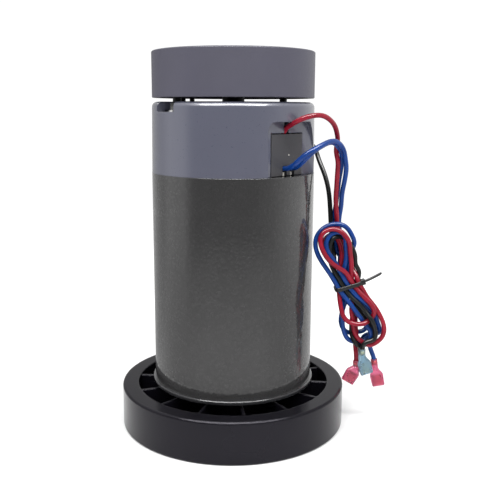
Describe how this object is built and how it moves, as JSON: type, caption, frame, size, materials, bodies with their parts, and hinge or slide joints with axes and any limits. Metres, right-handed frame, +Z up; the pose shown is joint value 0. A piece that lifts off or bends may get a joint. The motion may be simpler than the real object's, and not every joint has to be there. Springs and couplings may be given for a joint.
{
  "type": "electric motor",
  "caption": "Brushed direct-current motor standing on a ribbed fan flywheel, with a smooth can, a drum flywheel on the far shaft end and a tied hank of leads with spade terminals.",
  "frame": {"origin": "on the shaft axis, in the plane of the fan flywheel's underside, which the motor stands on", "axes": "+Z up along the shaft, from the fan flywheel to the drum; -Y is the front, towards which the brush pocket faces half right; +X is the side the leads hang on"},
  "size_m": [0.1716, 0.145, 0.2368],
  "materials": {
    "can_paint": "glossy hammered grey paint",
    "ferrite": "dull sintered ferrite",
    "flange_metal": "glossy dark paint",
    "bell_paint": "glossy blue-grey paint",
    "dark_steel": "blackened",
    "plated_steel": "zinc plated",
    "block_plastic": "moulded, matte",
    "brass": "plain",
    "steel": "ground",
    "pin_plastic": "plain",
    "protector_shell": "plain",
    "red_insulation": "silky PVC",
    "black_insulation": "silky PVC",
    "blue_insulation": "silky PVC",
    "tie_nylon": "nylon",
    "pink_sleeve": "slightly clear vinyl",
    "pale_blue_sleeve": "slightly clear vinyl",
    "shaft_steel": "turned",
    "laminations": "varnished",
    "enamelled_copper": "enamelled and varnished",
    "copper": "turned",
    "phenolic": "moulded",
    "flywheel_iron": "black paint",
    "drum_paint": "matte blue-grey paint",
    "carbon": "pressed carbon"
  },
  "bodies": {
    "stator": {"motor_can": "can_paint", "magnet_front": "ferrite", "magnet_back": "ferrite", "front_end_bell": "flange_metal", "rear_end_bell": "bell_paint", "tie_rods": "dark_steel", "tie_rod_nuts": "plated_steel", "tie_rod_washers": "plated_steel", "brush_block_front": "block_plastic", "brush_block_back": "block_plastic", "brush_guide_front": "brass", "brush_guide_back": "brass", "brush_spring_front": "steel", "brush_spring_back": "steel", "brush_block_screws": "dark_steel", "block_pins": "pin_plastic", "thermal_protector": "protector_shell", "front_bearing_outer": "steel", "rear_bearing_outer": "steel", "wave_washer": "steel", "red_lead": "red_insulation", "black_lead": "black_insulation", "blue_lead_left": "blue_insulation", "blue_lead_right": "blue_insulation", "lead_hank": "blue_insulation", "cable_tie": "tie_nylon", "red_terminal": "pink_sleeve", "black_terminal": "pale_blue_sleeve", "blue_terminal_left": "pink_sleeve", "blue_terminal_right": "pale_blue_sleeve", "terminal_receptacles": "brass"},
    "rotor": {"rotor_shaft": "shaft_steel", "armature_core": "laminations", "armature_windings": "enamelled_copper", "commutator_bars": "copper", "commutator_hub": "phenolic", "front_bearing_inner": "steel", "rear_bearing_inner": "steel", "fan_flywheel": "flywheel_iron", "flywheel_key": "dark_steel", "drum_flywheel": "drum_paint", "drum_washer": "plated_steel", "drum_nut": "plated_steel"},
    "front_cage": {"front_bearing_balls": "steel", "front_bearing_cage": "brass"},
    "rear_cage": {"rear_bearing_balls": "steel", "rear_bearing_cage": "brass"},
    "front_carbon": {"brush_front": "carbon"},
    "back_carbon": {"brush_back": "carbon"}
  },
  "joints": [
    {"name": "rotor_spin", "type": "hinge", "parent": "stator", "child": "rotor", "pos_m": [0, 0, 0.1], "axis": [0, 0, 1], "continuous": true},
    {"name": "front_cage_spin", "type": "hinge", "parent": "stator", "child": "front_cage", "pos_m": [0, 0, 0.038], "axis": [0, 0, 1], "continuous": true},
    {"name": "rear_cage_spin", "type": "hinge", "parent": "stator", "child": "rear_cage", "pos_m": [0, 0, 0.195], "axis": [0, 0, 1], "continuous": true},
    {"name": "front_brush_slide", "type": "slide", "parent": "stator", "child": "front_carbon", "axis": [0.7193, -0.6947, 0], "range_m": [0, 0.0025], "stiffness_N_per_m": 400, "springref_m": -0.01},
    {"name": "back_brush_slide", "type": "slide", "parent": "stator", "child": "back_carbon", "axis": [-0.7193, 0.6947, 0], "range_m": [0, 0.0025], "stiffness_N_per_m": 400, "springref_m": -0.01}
  ],
  "couplings": [
    {"joint": "front_cage_spin", "follows": "rotor_spin", "ratio": 0.3818},
    {"joint": "rear_cage_spin", "follows": "rotor_spin", "ratio": 0.3812}
  ]
}
